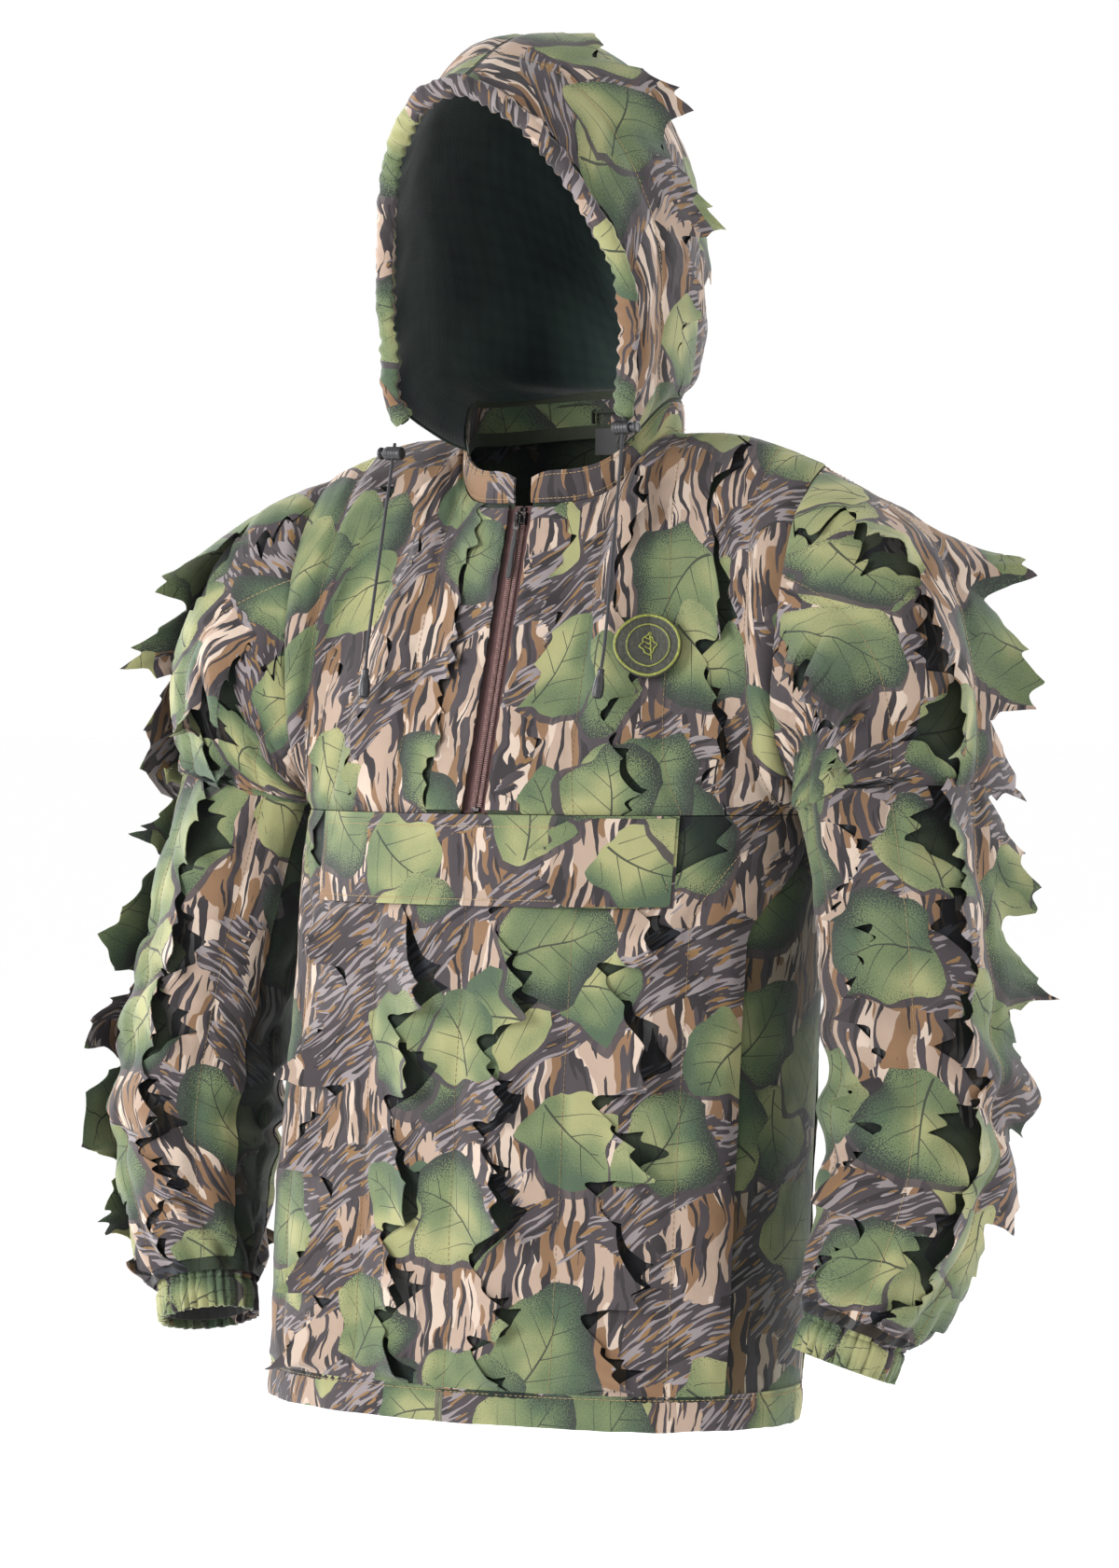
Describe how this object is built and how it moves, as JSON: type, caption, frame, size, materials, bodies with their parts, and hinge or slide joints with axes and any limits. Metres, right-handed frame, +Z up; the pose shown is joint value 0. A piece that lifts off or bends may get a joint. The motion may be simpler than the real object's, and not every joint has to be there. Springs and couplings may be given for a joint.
{
  "type": "leaf-cut camouflage pullover jacket",
  "caption": "Hooded half-zip camouflage pullover with sewn layers of leaf-cut cloth, a flapped chest pocket, elastic cuffs and a hood drawcord with spring locks.",
  "frame": {"origin": "the middle of the neck opening, at the level of the shoulders that carry the garment", "axes": "+Z up along the wearer's spine, -Y to the garment's front, +X to the wearer's left"},
  "size_m": [0.8572, 0.3106, 1.1023],
  "materials": {
    "printed_cloth": "matt woven polyester, printed",
    "side_cloth": "matt fine knit, printed",
    "leaf_cloth": "matt woven polyester, printed and laser cut",
    "lining": "fine mesh",
    "elastic": "braided elastic",
    "zip_tape": "woven tape",
    "zip_coil": "nylon coil",
    "dark_metal": "black, worn at the edges",
    "spring_steel": "spring wire",
    "pull_rubber": "moulded, matt",
    "badge_rubber": "moulded, matt",
    "cord": "braided shock cord",
    "lock_plastic": "moulded, satin"
  },
  "bodies": {
    "jacket": {"back_panel": "printed_cloth", "badge": "badge_rubber", "chest_panel_left": "printed_cloth", "chest_panel_right": "printed_cloth", "collar_stand": "printed_cloth", "cuff_elastic_left": "elastic", "cuff_elastic_right": "elastic", "cuff_left": "printed_cloth", "cuff_right": "printed_cloth", "eyelet_left": "dark_metal", "eyelet_right": "dark_metal", "front_lower_panel": "printed_cloth", "hanger_loop": "zip_tape", "hem_band": "printed_cloth", "hood_casing": "printed_cloth", "hood_drawcord": "cord", "hood_panel_left": "printed_cloth", "hood_panel_right": "printed_cloth", "leaf_layer_back": "leaf_cloth", "leaf_layer_chest_left": "leaf_cloth", "leaf_layer_chest_right": "leaf_cloth", "leaf_layer_front": "leaf_cloth", "leaf_layer_hood_left": "leaf_cloth", "leaf_layer_hood_right": "leaf_cloth", "leaf_strip_sleeve_back_left": "leaf_cloth", "leaf_strip_sleeve_back_right": "leaf_cloth", "leaf_strip_sleeve_front_left": "leaf_cloth", "leaf_strip_sleeve_front_right": "leaf_cloth", "placket_left": "printed_cloth", "placket_right": "printed_cloth", "pocket_bag": "lining", "side_panel_left": "side_cloth", "side_panel_right": "side_cloth", "size_label": "zip_tape", "sleeve_left": "printed_cloth", "sleeve_right": "printed_cloth", "zip_bottom_stop": "dark_metal", "zip_guard": "printed_cloth", "zip_tape_left": "zip_tape", "zip_tape_right": "zip_tape", "zip_teeth_left": "zip_coil", "zip_teeth_right": "zip_coil", "zip_top_stop_left": "dark_metal", "zip_top_stop_right": "dark_metal"},
    "slider": {"zip_slider": "dark_metal"},
    "pull": {"pull_link": "dark_metal", "pull_tab": "pull_rubber"},
    "flap": {"pocket_flap": "printed_cloth"},
    "cord_left": {"hanging_cord_left": "cord", "cord_end_left": "lock_plastic"},
    "lock_left": {"lock_barrel_left": "lock_plastic", "lock_spring_left": "spring_steel"},
    "button_left": {"lock_button_left": "lock_plastic"},
    "cord_right": {"hanging_cord_right": "cord", "cord_end_right": "lock_plastic"},
    "lock_right": {"lock_barrel_right": "lock_plastic", "lock_spring_right": "spring_steel"},
    "button_right": {"lock_button_right": "lock_plastic"}
  },
  "joints": [
    {"name": "zip_slide", "type": "slide", "parent": "jacket", "child": "slider", "axis": [0, 0.277, 0.9609], "range_m": [-0.233, 0]},
    {"name": "pull_swing", "type": "hinge", "parent": "slider", "child": "pull", "pos_m": [0, -0.08122, -0.03565], "axis": [-1, 0, 0], "range_deg": [0, 150]},
    {"name": "flap_lift", "type": "hinge", "parent": "jacket", "child": "flap", "pos_m": [0, -0.1482, -0.274], "axis": [-1, 0, 0], "range_deg": [0, 150]},
    {"name": "cord_swing_left", "type": "hinge", "parent": "jacket", "child": "cord_left", "pos_m": [0.109, -0.096, 0.04], "axis": [-1, 0, 0], "range_deg": [0, 60]},
    {"name": "lock_slide_left", "type": "slide", "parent": "cord_left", "child": "lock_left", "axis": [0.0191, -0.1906, -0.9815], "range_m": [0, 0.11]},
    {"name": "button_press_left", "type": "slide", "parent": "lock_left", "child": "button_left", "axis": [-0.9998, -0.0036, -0.0187], "range_m": [0, 0.0025], "stiffness_N_per_m": 600, "springref_m": -0.0015, "deforming": ["lock_spring_left"]},
    {"name": "cord_swing_right", "type": "hinge", "parent": "jacket", "child": "cord_right", "pos_m": [-0.109, -0.096, 0.024], "axis": [-1, 0, 0], "range_deg": [0, 60]},
    {"name": "lock_slide_right", "type": "slide", "parent": "cord_right", "child": "lock_right", "axis": [-0.0206, -0.206, -0.9783], "range_m": [0, 0.11]},
    {"name": "button_press_right", "type": "slide", "parent": "lock_right", "child": "button_right", "axis": [0.9998, -0.0042, -0.0202], "range_m": [0, 0.0025], "stiffness_N_per_m": 600, "springref_m": -0.0015, "deforming": ["lock_spring_right"]}
  ]
}
